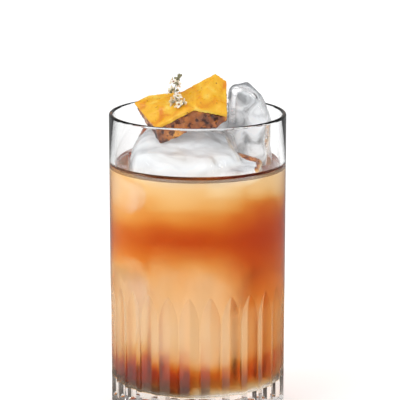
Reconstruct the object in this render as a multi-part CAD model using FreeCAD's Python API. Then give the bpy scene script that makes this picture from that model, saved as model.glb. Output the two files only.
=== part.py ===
import FreeCAD, Part

import itertools
import math
import os

from FreeCAD import Rotation, Vector

# An iced cocktail in a straight tumbler with vertical mitre-cut flutes. Two blocks of ice and
# a chip stand out of the drink, a piece of honeycomb rests on the front block and carries a
# small sprig of blossom. Millimetres, +Z up, the origin is the centre of the tumbler's foot,
# and the drinker looks along +Y. Heights written as RIM + number are measured from the rim.

# Tumbler
RIM = 124.0
RIM_RADIUS = 36.0
FOOT_RADIUS = 35.5
RIM_WALL = 1.8
FLOOR_WALL = 2.6
FLOOR = 12.4
FLOOR_ROUND = 6.0
FOOT_BEVEL = 1.0
LIP_ROUND = 0.8

# Mitre-cut flutes round the lower half
FLUTE_COUNT = 26
FLUTE_TIP = 55.0
FLUTE_DEPTH = 1.5
FLUTE_RUN_IN = 12.0
FLUTE_STEPS = 4
FLUTE_TURN = -95.4
RIDGE_WIDTH = 0.7
PAST_SURFACE = 1.05

# Drink
LEVEL = RIM - 22.0

# Ice: how far it reaches from the axis, and the width of its melted edges
ICE_REACH = 33.0
WALL_FACETS = 24
MELT_BLOCK = 1.5
MELT_CHIP = 0.7

# Honeycomb: the wax capping, and the top corners with the depth of the piece below each
CAPPING = 1.5
COMB_CORNERS = {
    "back_left": (Vector(-25.6, 1.0, RIM + 3.8), Vector(4.8, -0.5, -8.3)),
    "front_left": (Vector(-17.0, -12.0, RIM - 3.9), Vector(2.1, 0.5, -8.1)),
    "front_ridge": (Vector(-1.7, -12.0, RIM + 4.2), Vector(0.6, 1.0, -9.7)),
    "front_slope": (Vector(7.3, -10.7, RIM + 2.1), Vector(0.2, 0.6, -6.3)),
    "front_right": (Vector(12.0, -10.0, RIM + 1.2), Vector(-0.4, 0.4, -3.2)),
    "back_right": (Vector(11.8, 3.0, RIM + 12.6), Vector(-0.8, -0.3, -14.2)),
    "peak": (Vector(7.3, 4.0, RIM + 15.3), Vector(-1.0, -0.5, -18.0)),
    "back_ridge": (Vector(-6.0, 3.0, RIM + 8.3), Vector(0.0, 0.0, -12.2)),
    "back_bend": (Vector(-20.0, 4.5, RIM + 6.4), Vector(2.0, -0.5, -10.5)),
}
# Faces of the top: each turns at the ridge that runs from front to back
COMB_TOP = [
    ("back_left", "front_left", "front_ridge"),
    ("back_left", "front_ridge", "back_bend"),
    ("back_bend", "front_ridge", "back_ridge"),
    ("back_ridge", "front_ridge", "peak"),
    ("front_ridge", "back_right", "peak"),
    ("front_ridge", "front_slope", "back_right"),
    ("front_slope", "front_right", "back_right"),
]

# Sprig of blossom: a stem, and flowers of five petals set in a spiral round it
STEM_FOOT = Vector(-5.8, -8.0, RIM + 3.4)
STEM_TOP = Vector(-7.8, 1.0, RIM + 13.6)
STEM_RADIUS = 0.55
STEM_SIDES = 8
BLOSSOM_RADIUS = 2.1
BLOSSOM_COUNT = 5
BLOSSOM_TURN = 137.5
BLOSSOM_REACH = 1.3
BLOSSOM_LIFT = 0.4
BLOSSOM_SHRINK = 0.35
PETALS = 5
PETAL_NOTCH = 0.7
CUP_DEPTH = 0.8
FACE_HOLLOW = 0.25


def outer_radius(z):
    """Radius of the tumbler's outside at height z."""
    return FOOT_RADIUS + (RIM_RADIUS - FOOT_RADIUS) * z / RIM


def inner_radius(z):
    """Radius of the tumbler's inside at height z, above the rounded floor."""
    wall = FLOOR_WALL + (RIM_WALL - FLOOR_WALL) * (z - FLOOR) / (RIM - FLOOR)
    return outer_radius(z) - wall


def line(start, end):
    return Part.LineSegment(start, end).toShape()


def polygon(corners):
    return Part.Face(Part.makePolygon(corners + corners[:1]))


def closed_solid(faces):
    """Solid inside a closed set of faces, turned so that they point outwards."""
    solid = Part.Solid(Part.makeShell(faces))
    return solid if solid.Volume > 0 else solid.reversed()


def quarter_arc(start, centre, end):
    """A quarter of the circle round centre, from start to end."""
    halfway = centre + ((start - centre) + (end - centre)).normalize() * (start - centre).Length
    return Part.Arc(start, halfway, end).toShape()


def turned(edges):
    """Solid of revolution about Z from a closed chain of edges in the XZ plane."""
    face = Part.Face(Part.Wire(edges))
    return face.revolve(Vector(0, 0, 0), Vector(0, 0, 1), 360)


def cavity(top, radius_at_top):
    """The inside of the tumbler from its floor to a height, as a solid."""
    floor_edge = inner_radius(FLOOR) - FLOOR_ROUND
    wall_start = Vector(inner_radius(FLOOR), 0, FLOOR + FLOOR_ROUND)
    axis_floor = Vector(0, 0, FLOOR)
    axis_top = Vector(0, 0, top)
    round_start = Vector(floor_edge, 0, FLOOR)
    round_middle = Vector(floor_edge, 0, FLOOR + FLOOR_ROUND)
    wall_top = Vector(radius_at_top, 0, top)
    return turned([
        line(axis_floor, round_start),
        quarter_arc(round_start, round_middle, wall_start),
        line(wall_start, wall_top),
        line(wall_top, axis_top),
        line(axis_top, axis_floor),
    ])


def flute_section(z, depth):
    """Outline that one cut takes out of the wall at height z; its point lies at depth."""
    mean_radius = outer_radius(FLUTE_TIP / 2)
    half_turn = math.pi / FLUTE_COUNT - RIDGE_WIDTH / (2 * mean_radius)
    rise = mean_radius * math.cos(half_turn) - (mean_radius - FLUTE_DEPTH)
    reach = mean_radius * math.sin(half_turn)
    near = outer_radius(z) - depth
    far = near + rise * PAST_SURFACE + 2 * FLUTE_DEPTH
    shoulder = near + rise * PAST_SURFACE
    side = reach * PAST_SURFACE
    outline = [(near, 0), (shoulder, side), (far, side), (far, -side), (shoulder, -side)]
    return [Vector(x, y, z) for x, y in outline]


def flute_depth(run):
    """Depth of a cut at a share of the run-in below its tip; negative past the tip."""
    return FLUTE_DEPTH * (1 - (1 - run) ** 2)


def flute_cutter():
    """One mitre cut, from the foot straight up, then running out on a curve to its tip."""
    sections = [flute_section(-FOOT_BEVEL, FLUTE_DEPTH)]
    for step in range(FLUTE_STEPS, -2, -1):
        run = step / FLUTE_STEPS
        sections.append(flute_section(FLUTE_TIP - FLUTE_RUN_IN * run, flute_depth(run)))
    faces = [polygon(sections[0]), polygon(sections[-1])]
    for lower, upper in zip(sections, sections[1:]):
        for index in range(len(lower)):
            before = index - 1
            faces.append(polygon([lower[before], lower[index], upper[index], upper[before]]))
    return closed_solid(faces)


def make_tumbler():
    """Turned glass with a thick base and a rounded lip, then the flutes cut one by one."""
    foot_edge = Vector(FOOT_RADIUS - FOOT_BEVEL, 0, 0)
    foot_side = Vector(outer_radius(FOOT_BEVEL), 0, FOOT_BEVEL)
    lip_z = RIM - LIP_ROUND
    lip_out = Vector(outer_radius(lip_z), 0, lip_z)
    lip_in = Vector(inner_radius(lip_z), 0, lip_z)
    crest_out = Vector(lip_out.x - LIP_ROUND, 0, RIM)
    crest_in = Vector(lip_in.x + LIP_ROUND, 0, RIM)
    body = turned([
        line(Vector(0, 0, 0), foot_edge),
        line(foot_edge, foot_side),
        line(foot_side, lip_out),
        quarter_arc(lip_out, Vector(crest_out.x, 0, lip_z), crest_out),
        line(crest_out, crest_in),
        quarter_arc(crest_in, Vector(crest_in.x, 0, lip_z), lip_in),
        line(lip_in, Vector(0, 0, lip_z)),
        line(Vector(0, 0, lip_z), Vector(0, 0, 0)),
    ])
    glass = body.cut(cavity(lip_z, lip_in.x))
    cutter = flute_cutter()
    for index in range(FLUTE_COUNT):
        cut = cutter.copy()
        cut.rotate(Vector(0, 0, 0), Vector(0, 0, 1), FLUTE_TURN + 360 * index / FLUTE_COUNT)
        glass = glass.cut(cut)
    return glass


def heading(azimuth, lean):
    """Unit vector from an angle about +Z and an angle above the level, in degrees."""
    across, up = math.radians(azimuth), math.radians(lean)
    return Vector(math.cos(up) * math.cos(across), math.cos(up) * math.sin(across), math.sin(up))


def corners_of(planes):
    """Where three planes meet inside all the others: a list of (corner, its planes)."""
    corners = []
    for trio in itertools.combinations(range(len(planes)), 3):
        (n1, d1), (n2, d2), (n3, d3) = (planes[index] for index in trio)
        spread = n1.dot(n2.cross(n3))
        if abs(spread) < 1e-4:
            continue
        corner = (n2.cross(n3) * d1 + n3.cross(n1) * d2 + n1.cross(n2) * d3) / spread
        if all(normal.dot(corner) <= reach + 1e-7 for normal, reach in planes):
            corners.append((corner, trio))
    return corners


def turn_of(arm, side, up):
    """Angle of an arm in the plane of two directions."""
    return math.atan2(arm.dot(up), arm.dot(side))


def convex_solid(planes):
    """Solid that lies behind every plane, each given as (outward normal, reach)."""
    corners = corners_of(planes)
    faces = []
    for index, (normal, reach) in enumerate(planes):
        ring = [corner for corner, trio in corners if index in trio]
        if len(ring) < 3:
            continue
        middle = sum(ring, Vector(0, 0, 0)) / len(ring)
        side = (ring[0] - middle).normalize()
        up = normal.cross(side)
        ring.sort(key=lambda corner: turn_of(corner - middle, side, up))
        faces.append(polygon(ring))
    return closed_solid(faces)


def split_block(middle, faces, melt):
    """Ice block with flat faces given as (azimuth, lean, distance from middle).

    It stays clear of the tumbler's wall, and each of its edges is melted off to a bevel.
    """
    planes = []
    for azimuth, lean, distance in faces:
        normal = heading(azimuth, lean)
        planes.append((normal, normal.dot(middle) + distance))
    for index in range(WALL_FACETS):
        planes.append((heading(360 * index / WALL_FACETS, 0), ICE_REACH))
    ends = {}
    for corner, trio in corners_of(planes):
        for pair in itertools.combinations(trio, 2):
            ends.setdefault(pair, []).append(corner)
    used = {index for pair, pair_ends in ends.items() if len(pair_ends) == 2 for index in pair}
    bevelled = [planes[index] for index in sorted(used)]
    for (first, second), pair_ends in ends.items():
        if len(pair_ends) == 2:
            outward = (planes[first][0] + planes[second][0]).normalize()
            bevelled.append((outward, outward.dot(pair_ends[0]) - melt / 2))
    return convex_solid(bevelled)


def make_ice_front():
    """Big front block: a sloping top, and a lower shelf on its right side."""
    block = split_block(Vector(-5.0, -10.0, RIM - 22.0), [
        (-90, 4, 19.0), (-92, 42, 17.0), (-128, 6, 21.0), (-172, 6, 22.4), (165, 6, 22.2),
        (90, 5, 16.0), (14, 4, 21.0), (-48, 5, 20.0), (-78, 76, 11.2), (180, 28, 22.9),
        (-160, 56, 19.4), (-20, 68, 15.2), (0, -90, 16.0), (-90, -60, 20.0),
    ], MELT_BLOCK)
    shelf = split_block(Vector(12.0, -10.0, RIM - 29.0), [
        (-88, 5, 18.2), (-50, 8, 18.4), (-10, 4, 14.8), (60, 3, 9.0), (180, 0, 14.0),
        (-80, 80, 12.0), (0, -90, 9.0),
    ], MELT_BLOCK)
    return block.fuse(shelf)


def make_ice_rear():
    """Tall block at the back right that rises above the rim, with a shoulder on its left."""
    tall = split_block(Vector(20.0, 9.0, RIM - 12.0), [
        (-86, 4, 10.6), (180, 2, 7.6), (0, 2, 11.0), (5, 28, 12.8), (0, 50, 18.2),
        (-52, 10, 11.5), (85, 6, 13.0), (130, 8, 12.5), (40, 4, 10.5), (200, 88, 22.8),
        (150, 55, 21.2), (0, -90, 24.0),
    ], MELT_BLOCK)
    shoulder = split_block(Vector(8.0, 12.0, RIM - 16.0), [
        (-90, 6, 11.5), (180, 8, 8.6), (-140, 12, 11.6), (0, 0, 8.0), (95, 10, 11.0),
        (140, 8, 10.8), (-100, 76, 14.0), (0, -90, 20.0),
    ], MELT_BLOCK)
    return tall.fuse(shoulder)


def make_ice_chip():
    """Small chip that floats at the left, against the wall."""
    return split_block(Vector(-30.4, 2.6, LEVEL - 1.7), [
        (180, 6, 2.5), (0, 2, 2.2), (-80, 10, 4.6), (95, 5, 5.0), (-150, 52, 4.6),
        (160, 66, 4.8), (0, -90, 6.0),
    ], MELT_CHIP)


def prism_between(upper, lower):
    """Solid between two sets of corners that share the triangles of the honeycomb's top."""
    names = list(COMB_CORNERS)
    faces = []
    for a, b, c in COMB_TOP:
        faces.append(polygon([upper[a], upper[b], upper[c]]))
        faces.append(polygon([lower[a], lower[c], lower[b]]))
    for this, following in zip(names, names[1:] + names[:1]):
        faces.append(polygon([upper[this], lower[this], lower[following]]))
        faces.append(polygon([upper[this], lower[following], upper[following]]))
    return closed_solid(faces)


def make_comb():
    """The capping follows the top; the cells fill the rest of the piece below it."""
    top, seam, bottom = {}, {}, {}
    for name, (corner, depth) in COMB_CORNERS.items():
        top[name] = corner
        seam[name] = corner + depth * (CAPPING / abs(depth.z))
        bottom[name] = corner + depth
    return prism_between(top, seam), prism_between(seam, bottom)


def spokes(axis, count):
    """Unit vectors at even turns round an axis."""
    side = axis.cross(Vector(1, 0, 0)).normalize()
    return [Rotation(axis, 360 * index / count).multVec(side) for index in range(count)]


def blossom(middle, facing, radius):
    """Flower whose petals meet in notches, with a hollow face and a pointed cup behind."""
    rim = []
    for index, spoke in enumerate(spokes(facing, 2 * PETALS)):
        reach = radius if index % 2 == 0 else radius * PETAL_NOTCH
        rim.append(middle + spoke * reach)
    face_point = middle - facing * radius * FACE_HOLLOW
    cup_point = middle - facing * radius * CUP_DEPTH
    faces = []
    for this, following in zip(rim, rim[1:] + rim[:1]):
        faces.append(polygon([face_point, this, following]))
        faces.append(polygon([cup_point, following, this]))
    return closed_solid(faces)


def make_sprig():
    """A short stem with its blossoms, which face outwards and are largest at the foot."""
    along = STEM_TOP - STEM_FOOT
    axis = Vector(along).normalize()
    first_out = spokes(axis, 1)[0]
    section = [STEM_FOOT + spoke * STEM_RADIUS for spoke in spokes(axis, STEM_SIDES)]
    sprig = polygon(section).extrude(along)
    for index in range(BLOSSOM_COUNT):
        share = (index + 0.5) / BLOSSOM_COUNT
        out = Rotation(axis, BLOSSOM_TURN * index).multVec(first_out)
        radius = BLOSSOM_RADIUS * (1 - BLOSSOM_SHRINK * share)
        middle = STEM_FOOT + along * share + out * BLOSSOM_REACH
        sprig = sprig.fuse(blossom(middle, (out + axis * BLOSSOM_LIFT).normalize(), radius))
    return sprig


def main():
    tumbler = make_tumbler()
    drink = cavity(LEVEL, inner_radius(LEVEL))
    comb_cap, comb_cells = make_comb()
    ice_front = make_ice_front().cut([comb_cells, comb_cap])
    ice_rear = make_ice_rear().cut([ice_front, comb_cells, comb_cap])
    ice_chip = make_ice_chip().cut(ice_front)
    sprig = make_sprig().cut([comb_cap, comb_cells])
    nodes = {
        "tumbler": tumbler,
        "drink": drink.cut([ice_front, ice_rear, ice_chip]),
        "ice_front": ice_front,
        "ice_rear": ice_rear,
        "ice_chip": ice_chip,
        "comb_cap": comb_cap,
        "comb_cells": comb_cells,
        "blossom_sprig": sprig,
    }
    os.makedirs("parts", exist_ok=True)
    for name, shape in nodes.items():
        shape.exportStep(f"parts/{name}.step")
        box = shape.optimalBoundingBox()
        print(f"{name}: valid {shape.isValid()}, solids {len(shape.Solids)}, "
              f"{shape.Volume / 1000:.1f} cm3, x {box.XMin:.1f}..{box.XMax:.1f}, "
              f"y {box.YMin:.1f}..{box.YMax:.1f}, z {box.ZMin:.1f}..{box.ZMax:.1f}")


main()
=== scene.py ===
# %% [markdown]
# # An iced old fashioned in a cut tumbler
# The drink is a stack of clear things: a glass with flutes cut into its lower half, an amber
# liquid, and ice that floats in it and stands above the rim. A piece of honeycomb and a sprig
# of blossom lie on the ice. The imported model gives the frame: its nodes say where everything
# is, and every new piece takes its size from them.

# %% Load the frame
import math

import bpy
from mathutils import Matrix, Vector


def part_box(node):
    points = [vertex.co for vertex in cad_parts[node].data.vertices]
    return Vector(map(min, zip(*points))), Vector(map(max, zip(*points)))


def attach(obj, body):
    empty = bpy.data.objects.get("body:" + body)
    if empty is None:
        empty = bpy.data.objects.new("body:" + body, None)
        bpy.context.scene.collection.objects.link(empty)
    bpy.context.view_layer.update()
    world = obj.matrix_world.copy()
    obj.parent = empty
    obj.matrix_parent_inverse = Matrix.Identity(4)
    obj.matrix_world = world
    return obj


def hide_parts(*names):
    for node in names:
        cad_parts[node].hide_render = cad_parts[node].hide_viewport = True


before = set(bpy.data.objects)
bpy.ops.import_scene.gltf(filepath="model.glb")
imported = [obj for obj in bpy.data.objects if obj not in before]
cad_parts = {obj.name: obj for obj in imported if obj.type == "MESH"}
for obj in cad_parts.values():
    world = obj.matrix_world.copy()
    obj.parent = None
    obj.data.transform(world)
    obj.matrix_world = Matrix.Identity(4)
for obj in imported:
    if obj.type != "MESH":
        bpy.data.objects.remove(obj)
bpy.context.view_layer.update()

print("nodes:", sorted(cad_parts))

# %% [markdown]
# ## Sizes that everything shares
# The tumbler's box gives its rim and radius, and the drink's box gives the inner floor and the
# level. All lengths are metres, so a millimetre has a name of its own.

# %% Shared sizes
MM = 0.001
RIM_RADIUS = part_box("tumbler")[1].x
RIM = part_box("tumbler")[1].z
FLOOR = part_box("drink")[0].z
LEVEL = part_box("drink")[1].z
print(f"rim {RIM / MM:.1f} mm, level {LEVEL / MM:.1f} mm, inner floor {FLOOR / MM:.1f} mm")

# %% [markdown]
# ## The camera
# A long lens from well back keeps the glass's sides nearly parallel, and looks a little down
# into the rim. The camera only turns about X, so upright edges stay upright.

# %% Camera
VIEW_PITCH = math.radians(12.2)
EYE_BACK = 1.2468
EYE_ABOVE_RIM = 0.2332
EYE_ASIDE = 0.98 * MM
LENS_MM = 281.4
SENSOR_WIDTH_MM = 36.0

camera_data = bpy.data.cameras.new("camera")
camera_data.lens = LENS_MM
camera_data.sensor_width = SENSOR_WIDTH_MM
camera = bpy.data.objects.new("camera", camera_data)
camera.location = (EYE_ASIDE, -EYE_BACK, RIM + EYE_ABOVE_RIM)
camera.rotation_euler = (math.radians(90) - VIEW_PITCH, 0, 0)
bpy.context.scene.collection.objects.link(camera)
bpy.context.scene.camera = camera
bpy.context.scene.view_settings.view_transform = "Standard"
print(f"camera {EYE_BACK:.2f} m back, {EYE_ABOVE_RIM / MM:.0f} mm above the rim")

# %% [markdown]
# ## Small helpers for shader nodes
# A material is a chain of nodes. Short functions place a node with its settings, open an empty
# material and lay a ramp over a value, so that each finish below reads as a list of its layers.

# %% Nodes and ramps
def place(tree, kind, **values):
    """Adds a node and sets its input sockets by name."""
    node = tree.nodes.new(kind)
    for name, value in values.items():
        node.inputs[name.replace("_", " ")].default_value = value
    return node


def empty_material(name):
    """A material with nothing but its output node."""
    material = bpy.data.materials.new(name)
    material.use_nodes = True
    material.node_tree.nodes.clear()
    output = material.node_tree.nodes.new("ShaderNodeOutputMaterial")
    return material, material.node_tree, output


def ramp(tree, source, stops):
    """A colour ramp on a 0 to 1 value, from (position, colour) stops."""
    node = tree.nodes.new("ShaderNodeValToRGB")
    elements = node.color_ramp.elements
    while len(elements) < len(stops):
        elements.new(0.5)
    for element, (position, colour) in zip(elements, stops):
        element.position = position
        element.color = (*colour, 1)
    tree.links.new(source, node.inputs["Fac"])
    return node.outputs["Color"]


def grey(value):
    """A grey colour."""
    return (value, value, value)


def greys(*stops):
    """The stops of a grey ramp, from (position, value) pairs."""
    return [(position, grey(value)) for position, value in stops]

# %% [markdown]
# ## Arithmetic on sockets
# The next functions do sums with nodes. Each takes sockets or plain numbers and returns a
# socket, so that they can be nested. The last one tells rays apart: a room can look one way to
# the camera, another way in a mirror and a third way through glass. A ray that has passed glass
# is flagged both as glossy and as transmitted, so a truly mirrored ray is glossy minus
# transmitted.

# %% Sums with nodes
def feed(tree, socket, value):
    """Gives an input a number or a colour to hold, or links another node's output to it."""
    if isinstance(value, tuple):
        socket.default_value = (*value, 1)
    elif isinstance(value, float):
        socket.default_value = value
    else:
        tree.links.new(value, socket)


def switch(tree, when, off, on):
    """A value that is off where when is 0 and on where it is 1; either may be a socket."""
    node = tree.nodes.new("ShaderNodeMix")
    for index, value in ((0, when), (2, off), (3, on)):
        feed(tree, node.inputs[index], value)
    return node.outputs[0]


def worked_out(tree, operation, first, second, clamp=True):
    """One step of arithmetic on two values, each a socket or a number."""
    node = tree.nodes.new("ShaderNodeMath")
    node.operation = operation
    node.use_clamp = clamp
    feed(tree, node.inputs[0], first)
    feed(tree, node.inputs[1], second)
    return node.outputs["Value"]


def blended(tree, factor, first, second, kind="MIX"):
    """Two colours mixed by a factor."""
    node = tree.nodes.new("ShaderNodeMix")
    node.data_type = "RGBA"
    node.blend_type = kind
    for index, value in ((0, factor), (6, first), (7, second)):
        feed(tree, node.inputs[index], value)
    return node.outputs[2]


def spread(tree, value, low, high, to_low=0.0, to_high=1.0):
    """A value stretched from one range to another and held at its ends."""
    node = place(tree, "ShaderNodeMapRange", From_Min=low, From_Max=high,
                 To_Min=to_low, To_Max=to_high)
    tree.links.new(value, node.inputs["Value"])
    return node.outputs["Result"]


def axes(tree, vector=None):
    """The X, Y and Z of a vector, or of the place on the piece if none is given."""
    node = tree.nodes.new("ShaderNodeSeparateXYZ")
    if vector is None:
        vector = tree.nodes.new("ShaderNodeTexCoord").outputs["Object"]
    tree.links.new(vector, node.inputs["Vector"])
    return node.outputs


def rays(tree):
    """Three flags: the ray looks at its target at all, through glass or in a mirror, and only
    in a mirror."""
    path = tree.nodes.new("ShaderNodeLightPath")
    camera_ray, glossy, through = (path.outputs[f"Is {kind} Ray"]
                                   for kind in ("Camera", "Glossy", "Transmission"))
    bent = worked_out(tree, "MAXIMUM", glossy, through)
    return (worked_out(tree, "MAXIMUM", bent, camera_ray), bent,
            worked_out(tree, "SUBTRACT", glossy, through))

# %% [markdown]
# ## Two effects that many finishes share
# Nearly every material here needs one of two things: colour that wanders in soft patches, or a
# surface that isn't quite flat. Each is built once as a node group, and each material places it
# with its own size and strength. Both read the piece's own coordinates, so nothing slides when
# the object is moved.

# %% Making and placing an effect
def effect(name, inputs, output_name, output_kind):
    """An empty node group with named inputs and one output."""
    group = bpy.data.node_groups.new(name, "ShaderNodeTree")
    for label, kind, value in inputs:
        socket = group.interface.new_socket(label, in_out="INPUT", socket_type=kind)
        socket.default_value = value
    group.interface.new_socket(output_name, in_out="OUTPUT", socket_type=output_kind)
    return group, group.nodes.new("NodeGroupInput"), group.nodes.new("NodeGroupOutput")


def use(tree, group, **values):
    """Places a shared effect with its own values and returns its output."""
    node = tree.nodes.new("ShaderNodeGroup")
    node.node_tree = group
    for label, value in values.items():
        node.inputs[label].default_value = value
    return node.outputs[0]


NUMBER = "NodeSocketFloat"
VECTOR = "NodeSocketVector"

# %% Mottle: a value that wanders
mottle, given, result = effect("mottle", [
    ("Scale", NUMBER, 100.0), ("Detail", NUMBER, 2.0), ("Distortion", NUMBER, 0.0),
    ("Stretch", VECTOR, (1, 1, 1))], "Value", NUMBER)
coordinates = mottle.nodes.new("ShaderNodeTexCoord")
mapping = mottle.nodes.new("ShaderNodeMapping")
pattern = mottle.nodes.new("ShaderNodeTexNoise")
mottle.links.new(coordinates.outputs["Object"], mapping.inputs["Vector"])
mottle.links.new(given.outputs["Stretch"], mapping.inputs["Scale"])
mottle.links.new(mapping.outputs["Vector"], pattern.inputs["Vector"])
for label in ("Scale", "Detail", "Distortion"):
    mottle.links.new(given.outputs[label], pattern.inputs[label])
mottle.links.new(pattern.outputs["Fac"], result.inputs["Value"])


def patches(tree, scale, detail, stops, stretch=(1, 1, 1), distortion=0.0):
    """Colours that wander over a piece in soft patches, from (position, colour) stops."""
    value = use(tree, mottle, Scale=scale, Detail=detail, Distortion=distortion,
                Stretch=stretch)
    return ramp(tree, value, stops)


print("shared effect:", mottle.name)

# %% Ripples: a surface that isn't flat
ripples, given, result = effect("ripples", [
    ("Scale", NUMBER, 100.0), ("Detail", NUMBER, 2.0), ("Strength", NUMBER, 0.5),
    ("Distance", NUMBER, 0.2 * MM)], "Normal", VECTOR)
coordinates = ripples.nodes.new("ShaderNodeTexCoord")
pattern = ripples.nodes.new("ShaderNodeTexNoise")
bump = ripples.nodes.new("ShaderNodeBump")
ripples.links.new(coordinates.outputs["Object"], pattern.inputs["Vector"])
for label in ("Scale", "Detail"):
    ripples.links.new(given.outputs[label], pattern.inputs[label])
for label in ("Strength", "Distance"):
    ripples.links.new(given.outputs[label], bump.inputs[label])
ripples.links.new(pattern.outputs["Fac"], bump.inputs["Height"])
ripples.links.new(bump.outputs["Normal"], result.inputs["Normal"])


def waves(tree, scale, detail, strength, distance):
    """A surface that isn't quite flat."""
    return use(tree, ripples, Scale=scale, Detail=detail, Strength=strength,
               Distance=distance)


print("shared effect:", ripples.name)

# %% [markdown]
# ## The room round the glass
# Clear glass shows only what it bends and mirrors, so the room matters more than the lamps. Near
# the horizon the room is white, and higher up it turns grey, which draws the dark lines at rims
# and along the ice. It is the same all round, so the glass looks alike from every side. The
# camera itself sees plain white, and matt things are lit a little less than white, since the
# lamps add the rest.

# %% World
MIRRORED = 0.30
MATT_LEVEL = 0.9

world = bpy.data.worlds.new("studio")
world.use_nodes = True
bpy.context.scene.world = world
tree = world.node_tree
tree.nodes.clear()

direction = tree.nodes.new("ShaderNodeTexCoord").outputs["Generated"]
room = ramp(tree, axes(tree, direction)["Z"], greys(
    (0.00, 1.0), (0.24, 1.0), (0.42, 0.50), (0.60, 0.16), (0.82, 0.30), (0.95, 0.95)))
looked_at, bent, mirrored = rays(tree)
seen = blended(tree, bent, grey(1.0), room)
strength = switch(tree, mirrored, switch(tree, looked_at, MATT_LEVEL, 1.0), MIRRORED)
background = tree.nodes.new("ShaderNodeBackground")
tree.links.new(seen, background.inputs["Color"])
tree.links.new(strength, background.inputs["Strength"])
output = tree.nodes.new("ShaderNodeOutputWorld")
tree.links.new(background.outputs["Background"], output.inputs["Surface"])
print("room: white at the horizon, mirrored at", MIRRORED, "of its strength")

# %% [markdown]
# ## The floor
# A wide pale disc carries the soft shadow. Like most pieces here it starts as one of Blender's
# own shapes, which a helper adds. Part of its white is its own, for the rays that look at it
# directly or through glass, so that it meets the white of the room without a line, while its
# matt part still darkens where the object shades it. A view through the drink mostly ends
# on the floor behind it. Those rays find the floor brighter towards one side, as a softbox
# beside the table would make it, and that gives the clear drink its shading from side to side.

# %% A shape to start from
def started(name, operator, **settings):
    """A new piece, started as one of Blender's own shapes."""
    bpy.ops.object.select_all(action="DESELECT")
    operator(**settings)
    bpy.context.object.name = name
    return bpy.context.object

# %% Floor
FLOOR_RADIUS = 4.0
FLOOR_CORNERS = 96
FLOOR_GLOW = 0.30
DIM_SIDE_GLOW = 0.05
BRIGHT_SIDE_GLOW = 0.52
GLOW_SPREAD = 0.7

floor = started("studio_floor", bpy.ops.mesh.primitive_circle_add,
                vertices=FLOOR_CORNERS, radius=FLOOR_RADIUS, fill_type="NGON")

material, tree, output = empty_material("studio_floor")
looked_at, bent, mirrored = rays(tree)
direction = tree.nodes.new("ShaderNodeVectorMath")
direction.operation = "NORMALIZE"
tree.links.new(tree.nodes.new("ShaderNodeTexCoord").outputs["Object"], direction.inputs[0])
side_glow = spread(tree, axes(tree, direction.outputs["Vector"])["X"],
                   -GLOW_SPREAD, GLOW_SPREAD, DIM_SIDE_GLOW, BRIGHT_SIDE_GLOW)
glow = switch(tree, bent, FLOOR_GLOW, side_glow)
shown = worked_out(tree, "SUBTRACT", looked_at, mirrored)
own = place(tree, "ShaderNodeEmission", Color=(1, 1, 1, 1))
tree.links.new(worked_out(tree, "MULTIPLY", glow, shown), own.inputs["Strength"])
pale = patches(tree, 9.0, 3.0, greys((0.3, 0.78), (0.7, 0.80)))
matt = place(tree, "ShaderNodeBsdfDiffuse")
tree.links.new(blended(tree, mirrored, pale, grey(MIRRORED)), matt.inputs["Color"])
both = tree.nodes.new("ShaderNodeAddShader")
tree.links.new(matt.outputs["BSDF"], both.inputs[0])
tree.links.new(own.outputs["Emission"], both.inputs[1])
tree.links.new(both.outputs["Shader"], output.inputs["Surface"])
floor.data.materials.append(material)
print(f"floor {2 * FLOOR_RADIUS:.0f} m across")

# %% [markdown]
# ## The lamps
# A broad soft light from the upper left gives the comb and the ice their form. Two tall narrow
# lights, left and right, lay the thin white lines that run down a straight glass.

# %% Lamps
def soft_light(name, spot, aim, width, length, power):
    """A rectangular lamp at spot that points at aim, its length as upright as it can be."""
    data = bpy.data.lights.new(name, "AREA")
    data.shape = "RECTANGLE"
    data.size, data.size_y, data.energy = width, length, power
    lamp = bpy.data.objects.new(name, data)
    lamp.location = spot
    lamp.rotation_euler = (Vector(aim) - Vector(spot)).to_track_quat("-Z", "Y").to_euler()
    bpy.context.scene.collection.objects.link(lamp)


AIM = (0, 0, 0.09)
STRIP = {"width": 0.07, "length": 1.1, "power": 3.0}
soft_light("broad_light", (-0.9, -0.9, 1.5), AIM, width=1.0, length=1.0, power=9.0)
soft_light("left_strip", (-1.3, -0.55, 0.4), AIM, **STRIP)
soft_light("right_strip", (1.3, -0.45, 0.4), AIM, **STRIP)
print("lamps:", [lamp.name for lamp in bpy.data.lights])

# %% [markdown]
# ## Light through nested clear things
# Each clear wall is crossed twice, and the view passes glass, drink and ice in turn, so the ray
# needs many steps before it reaches the room.

# %% Ray depth
STEPS_OF_LIGHT = 32

cycles = bpy.context.scene.cycles
cycles.max_bounces = STEPS_OF_LIGHT
cycles.transmission_bounces = STEPS_OF_LIGHT
cycles.transparent_max_bounces = STEPS_OF_LIGHT
print("each ray may take", STEPS_OF_LIGHT, "steps")

# %% [markdown]
# ## Helpers for modelling
# Every piece is made with the operators a modeller uses by hand. An operator acts on all that is
# selected, so `pick` leaves exactly one object selected and active before each step.

# %% Picking, modifiers and cleaning
def pick(piece):
    """Selects one object alone and makes it active."""
    bpy.ops.object.select_all(action="DESELECT")
    piece.select_set(True)
    bpy.context.view_layer.objects.active = piece


def own_copy(name, mesh):
    """A new object with its own copy of a mesh."""
    piece = bpy.data.objects.new(name, mesh.copy())
    bpy.context.scene.collection.objects.link(piece)
    return piece


def apply_modifier(piece, kind, **settings):
    """Adds a modifier, sets it and applies it at once."""
    pick(piece)
    modifier = piece.modifiers.new(kind.lower(), kind)
    for key, value in settings.items():
        setattr(modifier, key, value)
    bpy.ops.object.modifier_apply(modifier=modifier.name)


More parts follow.
